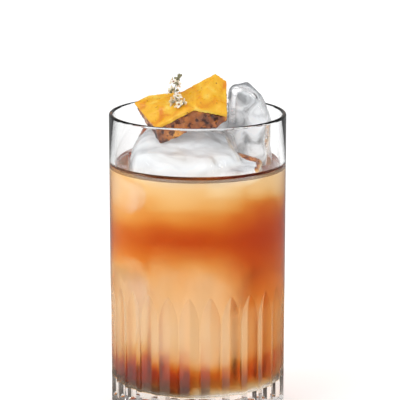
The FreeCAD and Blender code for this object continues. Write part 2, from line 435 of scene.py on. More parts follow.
def clean_mesh(piece):
    """Merges doubles and turns all faces outwards."""
    pick(piece)
    bpy.ops.object.mode_set(mode="EDIT")
    bpy.ops.mesh.select_all(action="SELECT")
    bpy.ops.mesh.remove_doubles(threshold=0.001 * MM)
    bpy.ops.mesh.normals_make_consistent(inside=False)
    bpy.ops.object.mode_set(mode="OBJECT")


def smooth(piece, degrees):
    """Smooth shading, with a crease wherever two faces meet at more than the angle."""
    pick(piece)
    bpy.ops.object.shade_smooth_by_angle(angle=math.radians(degrees))


def triangles(piece):
    """How many triangles a piece has."""
    return sum(len(face.vertices) - 2 for face in piece.data.polygons)

# %% A turned piece
def spun(name, profile, steps):
    """A turned piece: one corner drawn along a profile of (radius, height), spun round Z."""
    piece = started(name, bpy.ops.mesh.primitive_plane_add, size=MM)
    bpy.ops.object.mode_set(mode="EDIT")
    bpy.ops.mesh.merge(type="CENTER")
    bpy.ops.transform.translate(value=(profile[0][0], 0, profile[0][1]))
    for (start_r, start_z), (end_r, end_z) in zip(profile, profile[1:]):
        step = (end_r - start_r, 0, end_z - start_z)
        bpy.ops.mesh.extrude_vertices_move(TRANSFORM_OT_translate={"value": step})
    bpy.ops.mesh.select_all(action="SELECT")
    bpy.ops.mesh.spin(steps=steps, angle=math.tau, center=(0, 0, 0), axis=(0, 0, 1))
    bpy.ops.object.mode_set(mode="OBJECT")
    clean_mesh(piece)
    return piece

# %% [markdown]
# ## The tumbler, first as a turned blank
# The real glass is pressed or blown into a straight form with a thick base, and then cut. The
# same order works here: the wall's profile is drawn from the middle of the foot, up the outside,
# over the rounded lip, down the inside and across the floor, and spun once round the axis. A
# ring of corners at the level, and one where the drink climbs to, give the wet line its edges.

# %% Radii of the wall
SPIN_STEPS = 208
TAPER = 0.5 * MM
RIM_WALL = 1.8 * MM
FLOOR_WALL = 2.6 * MM
FLOOR_ROUND = 6.0 * MM
FOOT_ROUND = 1.2 * MM


def outside(z):
    """Outer radius of the glass at height z."""
    return RIM_RADIUS - TAPER * (1 - z / RIM)


def inside(z):
    """Inner radius of the glass at height z, above the rounded floor."""
    return outside(z) - FLOOR_WALL + (FLOOR_WALL - RIM_WALL) * (z - FLOOR) / (RIM - FLOOR)


def arc(centre_r, centre_z, radius, start, end, steps):
    """Points on an arc, with its angles in degrees from the outward radius."""
    points = []
    for step in range(steps + 1):
        angle = math.radians(start + (end - start) * step / steps)
        points.append((centre_r + radius * math.cos(angle), centre_z + radius * math.sin(angle)))
    return points


print(f"outer radius {outside(0) / MM:.1f} mm at the foot, {outside(RIM) / MM:.1f} mm at the rim")

# %% Turned blank
MENISCUS = 2.4 * MM
WET_LINE = LEVEL + 0.85 * MENISCUS
LINE_BELOW = 0.3 * MM
RINGS_OUTSIDE = (20, 40, 57, 62, 80, 100)
RINGS_INSIDE = (80, 60, 40, 25)

lip = RIM_WALL / 2
blank_profile = [(0, 0)]
blank_profile += arc(outside(0) - FOOT_ROUND, FOOT_ROUND, FOOT_ROUND, -90, 0, 4)
blank_profile += [(outside(z * MM), z * MM) for z in RINGS_OUTSIDE]
blank_profile += arc(outside(RIM) - lip, RIM - lip, lip, 0, 180, 10)
blank_profile += [(inside(z), z) for z in (WET_LINE, LEVEL - LINE_BELOW)]
blank_profile += [(inside(z * MM), z * MM) for z in RINGS_INSIDE]
blank_profile += arc(inside(FLOOR) - FLOOR_ROUND, FLOOR + FLOOR_ROUND, FLOOR_ROUND, 0, -90, 10)
blank_profile += [(0.5 * inside(FLOOR), FLOOR), (0, FLOOR)]
tumbler = spun("cut_tumbler", blank_profile, SPIN_STEPS)
print("blank triangles:", triangles(tumbler))

# %% [markdown]
# ## The cutting wheel's marks
# Each flute is a V-shaped groove that a wheel cuts up the wall until it runs out in a point. The
# cutter is a five-sided bar, sharp towards the axis. A circle of five corners is the start, and
# each corner is put at its place on the section, since their distances are worked out from the
# width and depth of the flute. The bar is extruded upwards, and near its top each step also
# moves it away from the axis, so the groove rises on a curve to its tip.

# %% Section of the cutter
FLUTE_COUNT = 26
FLUTE_TIP = 55.0 * MM
FLUTE_DEPTH = 1.5 * MM
FLUTE_RUN_IN = 12.0 * MM
FLUTE_TURN = math.radians(-95.4)
RIDGE_WIDTH = 0.7 * MM
RUN_STEPS = 10
PAST_SURFACE = 1.05
CUTTER_BACK = 3 * MM

middle_radius = outside(FLUTE_TIP / 2)
half_turn = math.pi / FLUTE_COUNT - RIDGE_WIDTH / (2 * middle_radius)
rise = middle_radius * math.cos(half_turn) - (middle_radius - FLUTE_DEPTH)
reach = middle_radius * math.sin(half_turn)
point = middle_radius - FLUTE_DEPTH
shoulder = point + PAST_SURFACE * rise
back = shoulder + CUTTER_BACK
side = PAST_SURFACE * reach
section = [(point, 0), (shoulder, -side), (back, -side), (back, side), (shoulder, side)]
print(f"flutes {2 * reach / MM:.1f} mm wide and {FLUTE_DEPTH / MM:.1f} mm deep")

# %% One cutter
cutter = started("cutter", bpy.ops.mesh.primitive_circle_add,
                 vertices=len(section), radius=MM, fill_type="NGON")
for vertex, (x, y) in zip(cutter.data.vertices, section):
    vertex.co = (x, y, -MM)
bpy.ops.object.mode_set(mode="EDIT")
bpy.ops.mesh.select_all(action="SELECT")
upright = FLUTE_TIP - FLUTE_RUN_IN + MM
bpy.ops.mesh.extrude_region_move(TRANSFORM_OT_translate={"value": (0, 0, upright)})
for step in range(RUN_STEPS + 1):
    climb = FLUTE_DEPTH * ((step + 1) ** 2 - step ** 2) / RUN_STEPS ** 2
    move = (climb, 0, FLUTE_RUN_IN / RUN_STEPS)
    bpy.ops.mesh.extrude_region_move(TRANSFORM_OT_translate={"value": move})
bpy.ops.object.mode_set(mode="OBJECT")
clean_mesh(cutter)
print("cutter triangles:", triangles(cutter))

# %% [markdown]
# ## All the flutes in one cut
# The cutter is copied round the axis, the copies are joined, and one Boolean takes them all out
# of the blank. The copies don't touch each other, so a narrow ridge stays between the grooves.

# %% Copying and joining
def turned_copy(piece, turn):
    """A copy with its own mesh, turned about Z."""
    copy = own_copy(piece.name, piece.data)
    copy.data.transform(Matrix.Rotation(turn, 4, "Z"))
    return copy


def joined(pieces):
    """Joins the pieces into the first one."""
    pick(pieces[0])
    for piece in pieces:
        piece.select_set(True)
    bpy.ops.object.join()
    return pieces[0]

# %% Cut the flutes
FACET_ANGLE = 9

copies = [turned_copy(cutter, FLUTE_TURN + math.tau * index / FLUTE_COUNT)
          for index in range(FLUTE_COUNT)]
bpy.data.objects.remove(cutter)
cutters = joined(copies)
apply_modifier(tumbler, "BOOLEAN", object=cutters, operation="DIFFERENCE", solver="EXACT")
bpy.data.objects.remove(cutters)
clean_mesh(tumbler)
smooth(tumbler, FACET_ANGLE)
print("cut tumbler triangles:", triangles(tumbler))

# %% [markdown]
# ## Clear glass
# Glass is one surface shader with full transmission. Where the wall is seen edge-on, a ramp on
# the Layer Weight darkens its colour, a painted shade for the dark edge, and a faint wave in the
# surface keeps the reflections from being perfect. Lamps shine through it, so shadow rays see a
# nearly clear sheet.

# %% Shared ending of every clear finish
def let_light_through(tree, surface, output, shade):
    """Shadow rays pass a clear piece, a little dimmed; all other rays meet its real surface."""
    path = tree.nodes.new("ShaderNodeLightPath")
    clear = place(tree, "ShaderNodeBsdfTransparent", Color=(*grey(shade), 1))
    mix = tree.nodes.new("ShaderNodeMixShader")
    tree.links.new(path.outputs["Is Shadow Ray"], mix.inputs["Fac"])
    tree.links.new(surface.outputs["BSDF"], mix.inputs[1])
    tree.links.new(clear.outputs["BSDF"], mix.inputs[2])
    tree.links.new(mix.outputs["Shader"], output.inputs["Surface"])

# %% A clear finish
FAINT_WAVE = (60.0, 1.0, 0.05, 0.2 * MM)


def clear_finish(name, ior, painted_shading_stops, mirror=0.4, wave=FAINT_WAVE, shade=0.97, rough=0.0,
                 haze=0.0):
    """A clear material: a Principled surface whose painted shading by facing comes from a ramp.
    """
    material, tree, output = empty_material(name)
    surface = place(tree, "ShaderNodeBsdfPrincipled",
                    Roughness=rough, IOR=ior, Transmission_Weight=1.0 - haze)
    surface.inputs["Specular Tint"].default_value = (*grey(mirror), 1)
    facing = place(tree, "ShaderNodeLayerWeight", Blend=0.5)
    # The ramp paints colour by facing: dark edges and other painted shading.
    painted_shading = ramp(tree, facing.outputs["Facing"], painted_shading_stops)
    tree.links.new(painted_shading, surface.inputs["Base Color"])
    tree.links.new(waves(tree, *wave), surface.inputs["Normal"])
    let_light_through(tree, surface, output, shade)
    return material

# %% [markdown]
# ## One glass, six finishes
# The tumbler looks different from place to place. Above the drink it is plain clear glass. Where
# the drink wets the inner wall, light goes from glass into drink and bends far less than into
# air, so that face has the index of glass divided by that of the drink. A dark line, a painted
# shade, marks where the drink climbs the wall. A flute's two sides are ground by the same wheel
# but lie at opposite slants: one side is given a trace of haze and a warm tint, a painted
# highlight, and the other is clear and tinted darker, a painted shade, so that the grooves read
# as light and dark stripes. The thick foot is tinted darker than the wall, a painted shade.

# %% Finishes of the tumbler
GLASS_IOR = 1.5
DRINK_IOR = 1.34
PLAIN_EDGE = greys((0.0, 1.0), (1.0, 0.99))

# The wall's ramp paints it darker where it is seen edge-on: a painted shade.
WALL_EDGE_SHADE = [(0.00, (1.0, 1.0, 1.0)), (0.72, (0.98, 0.985, 0.985)),
             (0.88, (0.78, 0.79, 0.80)), (1.00, (0.50, 0.50, 0.52))]
# The foot's ramp tints it warm and darker than the wall: a painted shade.
FOOT_SHADE = [(0.00, (0.62, 0.54, 0.47)), (0.60, (0.60, 0.58, 0.56)), (1.00, (0.30, 0.30, 0.32))]
# The wet line's dark ramp is a painted shade where the drink climbs the wall.
LINE_SHADE = [(0.00, (0.20, 0.16, 0.16)), (0.80, (0.30, 0.25, 0.25))]
# One side of each flute gets a warm tint and a trace of haze, a painted highlight; the other a
# darker tint, a painted shade.
FLUTE_HIGHLIGHT = [(0.00, (1.0, 0.95, 0.88)), (0.80, (0.97, 0.92, 0.85)), (1.00, grey(0.40))]
FLUTE_SHADE = greys((0.00, 0.85), (0.80, 0.80), (1.00, 0.30))

wet_ior = GLASS_IOR / DRINK_IOR
finishes = [
    clear_finish("clear_glass", GLASS_IOR, WALL_EDGE_SHADE),
    clear_finish("wet_glass", wet_ior, PLAIN_EDGE, mirror=1.0, shade=0.99, rough=0.35),
    clear_finish("foot_glass_painted_shade", GLASS_IOR, FOOT_SHADE, shade=0.45),
    clear_finish("wet_line_painted_shade", wet_ior, LINE_SHADE, mirror=1.0, shade=0.8),
    clear_finish("flute_painted_highlight", GLASS_IOR, FLUTE_HIGHLIGHT, haze=0.06),
    clear_finish("flute_painted_shade", GLASS_IOR, FLUTE_SHADE),
]
tumbler.data.materials.clear()
for finish in finishes:
    tumbler.data.materials.append(finish)

# %% Which face gets which finish
CLEAR, WET, SHADED_FOOT, SHADED_LINE, LIT_FLUTE, SHADED_FLUTE = range(len(finishes))
NEAR = 0.1 * MM
WALL_LEFT_BY_CUT = 0.5 * MM
CUT_SLANT = 0.08


def finish_of(face):
    """The finish of a face of the tumbler, from its place and the side it looks to."""
    x, y, z = face.center
    radius = math.hypot(x, y)
    if FLOOR - NEAR < z < WET_LINE and radius < inside(z) + NEAR:
        return SHADED_LINE if z > LEVEL - LINE_BELOW else WET
    if z < FLOOR / 2:
        return SHADED_FOOT
    if z < FLUTE_TIP and radius > inside(z) + WALL_LEFT_BY_CUT:
        # Facets that slant one way get the painted highlight, the others the painted shade.
        slant = (face.normal.y * x - face.normal.x * y) / radius
        if abs(slant) > CUT_SLANT:
            return LIT_FLUTE if slant > 0 else SHADED_FLUTE
    return CLEAR


for face in tumbler.data.polygons:
    face.material_index = finish_of(face)
print("faces of each finish:", {finish.name: sum(
    face.material_index == index for face in tumbler.data.polygons)
    for index, finish in enumerate(finishes)})
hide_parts("tumbler")
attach(tumbler, "root")

# %% [markdown]
# ## Ice that stands out of the drink
# The blocks are split by hand and have begun to melt: flat faces with soft edges, shallow
# hollows and a few sharp chips. The frame holds their plain flat-faced shapes. A merged copy is
# given an even skin by a voxel remesh, its edges are melted by smoothing, and noise textures
# push the skin in and out. Ice melts faster in the drink than above it, so below the surface
# each block is drawn in towards its middle. A formula on the height does that, since the change
# has to begin softly at the level.

# %% Skins and textures
def copy_of(node, name):
    """A merged copy of a node of the frame, free to be shaped."""
    piece = own_copy(name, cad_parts[node].data)
    piece.data.materials.clear()
    clean_mesh(piece)
    return piece


def cloud(name, size, depth=2):
    """A soft noise texture for the Displace modifier."""
    texture = bpy.data.textures.new(name, "CLOUDS")
    texture.noise_scale = size
    texture.noise_depth = depth
    return texture


def dents(name, size):
    """A texture of round hollows with sharp crests between them."""
    texture = bpy.data.textures.new(name, "VORONOI")
    texture.noise_scale = size
    return texture


def new_skin(piece, voxel, rounds):
    """An even skin of small faces, smoothed for so many rounds."""
    apply_modifier(piece, "REMESH", mode="VOXEL", voxel_size=voxel)
    apply_modifier(piece, "SMOOTH", factor=0.5, iterations=rounds)

# %% Melting
ALL_SMOOTH = 180


def melt(piece, voxel, rounds, layers):
    """Gives a block an even skin, rounds its edges and displaces it by noise layers."""
    new_skin(piece, voxel, rounds)
    for texture, depth in layers:
        apply_modifier(piece, "DISPLACE", texture=texture, strength=depth, mid_level=0.5)
    apply_modifier(piece, "SMOOTH", factor=0.5, iterations=3)
    smooth(piece, ALL_SMOOTH)


def undercut(piece, share, run):
    """Melts the sunk part more: below the surface it narrows to a share within a run of depth."""
    corners = piece.data.vertices
    middle = sum((corner.co for corner in corners), Vector()) / len(corners)
    for corner in corners:
        sunk = min(1.0, max(0.0, (LEVEL - corner.co.z) / run))
        keep = 1 - (1 - share) * sunk * sunk * (3 - 2 * sunk)
        corner.co.x = middle.x + (corner.co.x - middle.x) * keep
        corner.co.y = middle.y + (corner.co.y - middle.y) * keep

# %% The three pieces of ice
broad = cloud("broad_melt", 14 * MM)
fine = cloud("fine_melt", 4 * MM)
scoops = dents("melt_scoops", 7 * MM)
ice_front = copy_of("ice_front", "melted_ice_front")
melt(ice_front, 0.7 * MM, 14, [(broad, 1.6 * MM), (fine, 0.3 * MM)])
undercut(ice_front, share=0.62, run=7 * MM)
ice_rear = copy_of("ice_rear", "melted_ice_rear")
melt(ice_rear, 0.7 * MM, 8, [(broad, 2.0 * MM), (scoops, 1.2 * MM), (fine, 0.5 * MM)])
undercut(ice_rear, share=0.75, run=7 * MM)
ice_chip = copy_of("ice_chip", "melted_ice_chip")
melt(ice_chip, 0.4 * MM, 5, [(fine, 0.5 * MM)])
for piece in (ice_front, ice_rear, ice_chip):
    print(piece.name, "triangles:", triangles(piece))

# %% [markdown]
# ## The cloudy heart of the ice
# Home-frozen ice is clear outside and milky in the middle, where the last water froze with its
# air. A smaller copy of each block stands inside it. Its material is a matt white that fades
# out where it is seen edge-on, so that the cloud has no outline.

# %% Cloudy cores
def core_of(piece, name, inset):
    """A shrunken smooth copy of a block."""
    core = own_copy(name, piece.data)
    apply_modifier(core, "DISPLACE", strength=-inset, mid_level=0.0)
    new_skin(core, 0.9 * MM, 20)
    smooth(core, ALL_SMOOTH)
    return core


cores = [
    core_of(ice_front, "cloud_front", 2.1 * MM),
    core_of(ice_rear, "cloud_rear", 2.6 * MM),
]
print("cloud triangles:", [triangles(core) for core in cores])

# %% [markdown]
# ## Ice sunk in the drink
# Under the surface lie more blocks. Wet ice in a liquid of nearly the same index has no edges
# of its own: what shows is its pale cloud, which glows through the amber, brighter where it
# comes near the wall. So the sunk blocks are clouds too. They start as cubes, get rounded by a
# bevel, and are melted for longer than the others. What would reach into the wall is drawn back
# inside by a formula that presses harder the farther out a corner lies, so that the block stays
# rounded there and shows no flat patch with an edge.

# %% A sunk block
def sunk_block(name, middle, size, turn, rounding):
    """A rounded melted cube, in mm, turned about its own middle by angles in degrees."""
    piece = started(name, bpy.ops.mesh.primitive_cube_add, size=1)
    piece.data.transform(Matrix.Diagonal((*(side * MM for side in size), 1)))
    for axis, angle in zip("XYZ", turn):
        piece.data.transform(Matrix.Rotation(math.radians(angle), 4, axis))
    piece.data.transform(Matrix.Translation(Vector(middle) * MM))
    piece.location = (0, 0, 0)
    bpy.ops.object.mode_set(mode="EDIT")
    bpy.ops.mesh.select_all(action="SELECT")
    bpy.ops.mesh.bevel(offset=rounding * MM, segments=6, affect="EDGES")
    bpy.ops.object.mode_set(mode="OBJECT")
    clean_mesh(piece)
    melt(piece, 1.0 * MM, 60, [(broad, 3.0 * MM)])
    return piece


def keep_within(piece, gap, soft=0.3):
    """Draws whatever reaches far out gently back inside the glass, so that it stays rounded."""
    for corner in piece.data.vertices:
        radius = math.hypot(corner.co.x, corner.co.y)
        room = inside(corner.co.z) - gap
        free = (1 - soft) * room
        if radius > free:
            kept = free + soft * room * (1 - math.exp((free - radius) / (soft * room)))
            corner.co.x *= kept / radius
            corner.co.y *= kept / radius

# %% Sunk ice
WALL_GAP = 1.2 * MM

sunk_blocks = [
    sunk_block("sunk_ice_middle", (-1, -7.5, 46), (42, 38, 54), (-13, 3, -4), 13),
    sunk_block("sunk_ice_right", (19, -9, 37), (26, 24, 27), (8, 10, 30), 9),
    sunk_block("sunk_ice_left", (-26, -11, 49), (24, 26, 40), (4, 6, -25), 11),
    sunk_block("sunk_ice_high", (-29, -11, 93), (20, 26, 14), (8, -6, 20), 6),
]
for block in sunk_blocks:
    keep_within(block, WALL_GAP)
    reach = max(corner.co.xy.length for corner in block.data.vertices)
    print(f"{block.name} reaches {reach / MM:.1f} mm from the axis, {triangles(block)} triangles")
cores += sunk_blocks

# %% [markdown]
# ## Clear ice
# Above the drink, ice is a clear solid with a dark rim, a painted shade, where it turns away.
# Below, it is wet: its index is so near that of the drink that its faces hardly bend or mirror
# anything, and an index just above that of the space round it says so. Each face takes one
# finish or the other, by its height.

# %% Ice materials
ICE_IOR = 1.31
WET_ICE_IOR = 1.001

# The ramp paints the ice dark where it turns away: a painted shade.
ice = clear_finish("clear_ice", ICE_IOR, [
    (0.00, (1.0, 1.0, 1.0)), (0.45, (0.95, 0.96, 0.97)),
    (0.66, (0.55, 0.56, 0.58)), (0.85, (0.15, 0.16, 0.18)),
], mirror=0.8, wave=(200.0, 3.0, 0.5, 0.35 * MM), shade=0.98)
wet_ice = clear_finish("wet_ice", WET_ICE_IOR, PLAIN_EDGE, mirror=1.0,
                       wave=(260.0, 4.0, 0.05, 0.2 * MM), shade=0.99)
for piece in (ice_front, ice_rear, ice_chip):
    piece.data.materials.append(ice)
    piece.data.materials.append(wet_ice)
    for face in piece.data.polygons:
        face.material_index = int(face.center.z < LEVEL)
    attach(piece, "root")
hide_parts("ice_front")
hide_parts("ice_rear")
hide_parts("ice_chip")
print("ice:", ice.name, "above the level,", wet_ice.name, "below it")

# %% [markdown]
# ## The clouds in the ice
# A cloud is a matt white surface that lets most of the view pass, with a faint glow of its own,
# which is painted light. It thins out in wisps from a noise, and to nothing where it is seen
# edge-on. The hearts of the standing blocks are dense and fade out just below the level. Those of
# the sunk blocks are thin, as much of their white is lost in the drink.

# %% Cloud materials
def cloud_finish(name, stops, scale, fade_stops, sunk_fade=0.0):
    """A matt white with a faint painted glow, that thins out in wisps, where it is seen edge-on,
    and with its depth.
    """
    material, tree, output = empty_material(name)
    # The emission is painted light: a faint glow that stands in for light scattered in the ice.
    surface = place(tree, "ShaderNodeBsdfPrincipled", Roughness=1.0,
                    Emission_Color=(0.97, 0.985, 1.0, 1), Emission_Strength=0.10)
    surface.inputs["Specular IOR Level"].default_value = 0.0
    wisps = use(tree, mottle, Scale=scale, Detail=4.0, Distortion=0.8)
    tree.links.new(ramp(tree, wisps, stops), surface.inputs["Base Color"])
    facing = place(tree, "ShaderNodeLayerWeight", Blend=0.5)
    fade = ramp(tree, facing.outputs["Facing"], fade_stops)
    thickness = ramp(tree, wisps, greys((0.30, 0.75), (0.60, 1.0)))
    alpha = worked_out(tree, "MULTIPLY", fade, thickness)
    if sunk_fade:
        depth = spread(tree, axes(tree)["Z"], LEVEL - sunk_fade, LEVEL)
        alpha = worked_out(tree, "MULTIPLY", alpha, depth)
    tree.links.new(alpha, surface.inputs["Alpha"])
    let_light_through(tree, surface, output, 0.8)
    return material


SUNK_FADE = 5 * MM
SOFT_FADE = greys((0.00, 0.34), (0.10, 0.28), (0.32, 0.10), (0.60, 0.0))
FULL_FADE = greys((0.00, 1.0), (0.45, 0.95), (0.75, 0.30), (0.90, 0.0))
thin_cloud = cloud_finish("ice_cloud", [
    (0.35, (0.90, 0.94, 0.98)), (0.60, (0.95, 0.97, 1.0))], 70.0, SOFT_FADE)
heart_clouds = {
    "cloud_front": cloud_finish("bright_cloud", [
        (0.32, (0.42, 0.44, 0.47)), (0.42, (0.82, 0.86, 0.90)),
        (0.56, (0.95, 0.98, 1.0))], 60.0, FULL_FADE, SUNK_FADE),
    "cloud_rear": cloud_finish("mottled_cloud", [
        (0.34, (0.16, 0.17, 0.18)), (0.43, (0.52, 0.54, 0.56)),
        (0.52, (0.86, 0.88, 0.90)), (0.62, (0.95, 0.97, 0.99))], 130.0, FULL_FADE, SUNK_FADE),
}
for core in cores:
    core.data.materials.clear()
    core.data.materials.append(heart_clouds.get(core.name, thin_cloud))
    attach(core, "root")
print("clouds:", {core.name: core.active_material.name for core in cores})

# %% [markdown]
# ## The drink
# A liquid wets its glass: no air lies between them, and the surface climbs a little where it
# meets the wall. So the drink's profile runs just inside the glass's wall, and its top curves up
# to the wall.

# %% Body of the drink
INTO_WALL = 0.25 * MM
MENISCUS_WIDTH = 2.0 * MM
RINGS_UP = (25, 40, 60, 80)
RINGS_INWARD = (0, 0.25, 0.5, 0.8, 1.2, 1.7, 2.4, 3.5, 5.0, 8.0, 16.0)

floor_round = FLOOR_ROUND + INTO_WALL
drink_profile = [(0, FLOOR - INTO_WALL), (0.5 * inside(FLOOR), FLOOR - INTO_WALL)]
drink_profile += arc(inside(FLOOR) - FLOOR_ROUND, FLOOR + FLOOR_ROUND, floor_round, -90, 0, 10)
drink_profile += [(inside(z * MM) + INTO_WALL, z * MM) for z in RINGS_UP]
for run in RINGS_INWARD:
    climb = MENISCUS * math.exp(-run * MM / MENISCUS_WIDTH)
    drink_profile.append((inside(LEVEL) + INTO_WALL - run * MM, LEVEL + climb))
drink_profile.append((0, LEVEL))
drink = spun("amber_drink", drink_profile, SPIN_STEPS)
print("drink triangles before the pockets:", triangles(drink))

# %% [markdown]
# ## Pockets for the ice
# Pockets are cut into the drink for the ice, a little smaller than the ice itself, so that ice
# and drink overlap by a hair and no air shows between them. Only the top of the drink then meets
# air. Its sides lie in the glass and its pockets round wet ice, where light should go straight
# on, since the glass and the ice do the bending there. A face attribute, `bend`, keeps the index
# for each face: that of the drink on top, 1 everywhere else.

# %% Pockets
POCKET_GAP = 0.3 * MM
CREASE_ANGLE = 40

for piece in (ice_front, ice_rear, ice_chip):
    pocket = own_copy("pocket", piece.data)
    apply_modifier(pocket, "DECIMATE", ratio=0.25)
    apply_modifier(pocket, "DISPLACE", strength=-POCKET_GAP, mid_level=0.0)
    apply_modifier(drink, "BOOLEAN", object=pocket, operation="DIFFERENCE", solver="EXACT")
    bpy.data.objects.remove(pocket)
smooth(drink, CREASE_ANGLE)
bend = drink.data.attributes.new("bend", "FLOAT", "FACE")
for face, value in zip(drink.data.polygons, bend.data):
    value.value = DRINK_IOR if face.center.z > LEVEL - 0.02 * MM else 1.0
print("drink triangles:", triangles(drink))

# %% [markdown]
# ## Amber liquid
# The colour of a drink lies in its depth: thin layers are pale yellow, deep ones red-brown. So
# the surface is plain clear liquid, and the colour comes from a Volume Absorption, which takes
# blue away fastest, then green, and red last. The absorption and the index vary over the piece
# and are linked. Each socket also holds a plain value of its own, an average, for a program
# that reads only that.

# %% Clear liquid with depth
MEAN_STRENGTH = 60.0

amber = clear_finish("amber_drink", DRINK_IOR, PLAIN_EDGE, mirror=1.0,
                     wave=(40.0, 1.0, 0.02, 0.2 * MM), shade=1.0)
tree = amber.node_tree
edges = tree.nodes.new("ShaderNodeAttribute")
edges.attribute_name = "bend"
tree.links.new(edges.outputs["Fac"], tree.nodes["Principled BSDF"].inputs["IOR"])
depth_colour = place(tree, "ShaderNodeVolumeAbsorption",
                     Color=(0.908, 0.64, 0.15, 1), Density=MEAN_STRENGTH)
tree.links.new(depth_colour.outputs["Volume"], tree.nodes["Material Output"].inputs["Volume"])
print("absorption on average:", MEAN_STRENGTH)

# %% [markdown]
# ## Layers in the drink
# As the ice melts, the drink parts in layers: pale under the surface, then a dark red-brown
# band, then a long golden part where sunk ice leaves little room for liquid. At the foot a much
# higher strength makes it dark again, a painted shade. One ramp over the height gives the
# strength in the middle, another one at the right flank, where the liquid is made stronger as a
# painted shade on that side, and a broad noise lifts and lowers the height, so that the layers
# swirl. Low in the glass the liquid is stronger near the wall, where it stands round the ice.

# %% Height and swirl
SWIRL_LIFT = 20 * MM

here = tree.nodes.new("ShaderNodeTexCoord").outputs["Object"]
swirl = use(tree, mottle, Scale=42.0, Detail=2.0, Distortion=0.5)
lifted = spread(tree, swirl, 0.0, 1.0, -SWIRL_LIFT, SWIRL_LIFT)
height = worked_out(tree, "ADD", axes(tree, here)["Z"], lifted, clamp=False)
share = spread(tree, height, FLOOR, LEVEL)

# %% Strength of the layers
SHADED_FLANK = (7 * MM, 24 * MM)

# Both ramps are very strong at the foot, a painted shade, and the flank ramp is stronger on the
# right side, a painted shade there.
middle = ramp(tree, share, greys(
    (0.00, 2.40), (0.05, 0.70), (0.09, 0.40), (0.16, 0.22), (0.36, 0.28), (0.50, 0.36),
    (0.62, 1.05), (0.72, 1.05), (0.82, 0.38), (0.96, 0.34)))
shaded_flank = ramp(tree, share, greys(
    (0.00, 2.40), (0.05, 0.70), (0.10, 0.50), (0.26, 0.50), (0.44, 0.85), (0.60, 1.60),
    (0.78, 1.50), (0.88, 0.50), (0.98, 0.36)))
strength = blended(tree, spread(tree, axes(tree, here)["X"], *SHADED_FLANK), middle, shaded_flank)

# %% Stronger round the sunk ice
FULL_STRENGTH = 115.0
NEAR_WALL = (20 * MM, 30 * MM)
LOW_DOWN = (58 * MM, 30 * MM)
ROUND_ICE = 1.8

flat = place(tree, "ShaderNodeMapping", Scale=(1, 1, 0))
tree.links.new(here, flat.inputs["Vector"])
from_axis = tree.nodes.new("ShaderNodeVectorMath")
from_axis.operation = "LENGTH"
tree.links.new(flat.outputs["Vector"], from_axis.inputs[0])
outer = spread(tree, from_axis.outputs["Value"], *NEAR_WALL)
round_ice = worked_out(tree, "MULTIPLY", outer, spread(tree, height, *LOW_DOWN))
more = ramp(tree, round_ice, greys((0.0, 1.0), (1.0, ROUND_ICE)))
strength = blended(tree, 1.0, strength, more, "MULTIPLY")
strength = blended(tree, 1.0, strength, grey(FULL_STRENGTH), "MULTIPLY")
tree.links.new(strength, depth_colour.inputs["Density"])
amber.cycles.volume_step_rate = 0.5
drink.data.materials.append(amber)
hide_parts("drink")
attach(drink, "root")
print("drink wears", amber.name, "with", len(tree.nodes), "nodes")

# %% [markdown]
# ## The honeycomb
# A cut piece of comb has two parts: a smooth wax capping on top, yellow and sticky, and below
# it the brown cells full of honey, torn open where the piece was broken off. Both start from
# the frame's solids, get an even skin, and are pushed in and out: the capping by gentle waves
# and a fine grain, the cells by deep round pits.

# %% Shape of the comb
def relief(piece, voxel, rounds, layers):
    """An even skin on a piece, its edges softened, then its relief."""
    new_skin(piece, voxel, rounds)
    for texture, depth, level in layers:
        apply_modifier(piece, "DISPLACE", texture=texture, strength=depth, mid_level=level)
    smooth(piece, ALL_SMOOTH)


swell = cloud("wax_swell", 6 * MM)
grain = cloud("wax_grain", 1.2 * MM, 3)
cells = dents("cell_pits", 2.4 * MM)
cells.distance_metric = "DISTANCE"
cells.intensity = 1.2
comb_cap = copy_of("comb_cap", "comb_capping")
relief(comb_cap, 0.30 * MM, 3, [(swell, 0.9 * MM, 0.5), (grain, 0.22 * MM, 0.5)])
comb_cells = copy_of("comb_cells", "comb_open_cells")
relief(comb_cells, 0.32 * MM, 3, [(swell, 0.9 * MM, 0.5), (cells, 0.9 * MM, 0.75),
                                  (grain, 0.3 * MM, 0.5)])
print("comb triangles:", triangles(comb_cap), triangles(comb_cells))

# %% [markdown]
# ## Wax and honey
# Wax lets light in a little and has a sticky gloss. Its colour wanders between lemon and orange
# in soft patches, and small brown pin holes lie in drifts: dark spots painted on the wax, a
# painted shade of holes. The cells are brown and golden where honey lies thick, with near black
# spots painted for the pits, a painted shade, so one noise chooses the colour and a finer one
# the painted pit shade.

# %% Shared ending of every matt finish
def finish_matt(tree, surface, output, colour, wave, roughness=None):
    """Links a colour, a wave and, where it varies, a roughness to a Principled surface."""
    tree.links.new(colour, surface.inputs["Base Color"])
    if roughness is not None:
        tree.links.new(roughness, surface.inputs["Roughness"])
    tree.links.new(waves(tree, *wave), surface.inputs["Normal"])
    tree.links.new(surface.outputs["BSDF"], output.inputs["Surface"])

# %% Wax
wax, tree, output = empty_material("comb_wax")
surface = place(tree, "ShaderNodeBsdfPrincipled", IOR=1.44, Subsurface_Weight=0.35,
                Subsurface_Radius=(2.5, 1.2, 0.4), Subsurface_Scale=MM, Coat_Weight=0.3,
                Coat_Roughness=0.2)
body = patches(tree, 150.0, 3.0, [
    (0.32, (0.74, 0.24, 0.010)),
    (0.45, (0.84, 0.40, 0.015)),
    (0.58, (0.90, 0.48, 0.030)),
    (0.72, (0.94, 0.62, 0.110)),
], distortion=0.8)
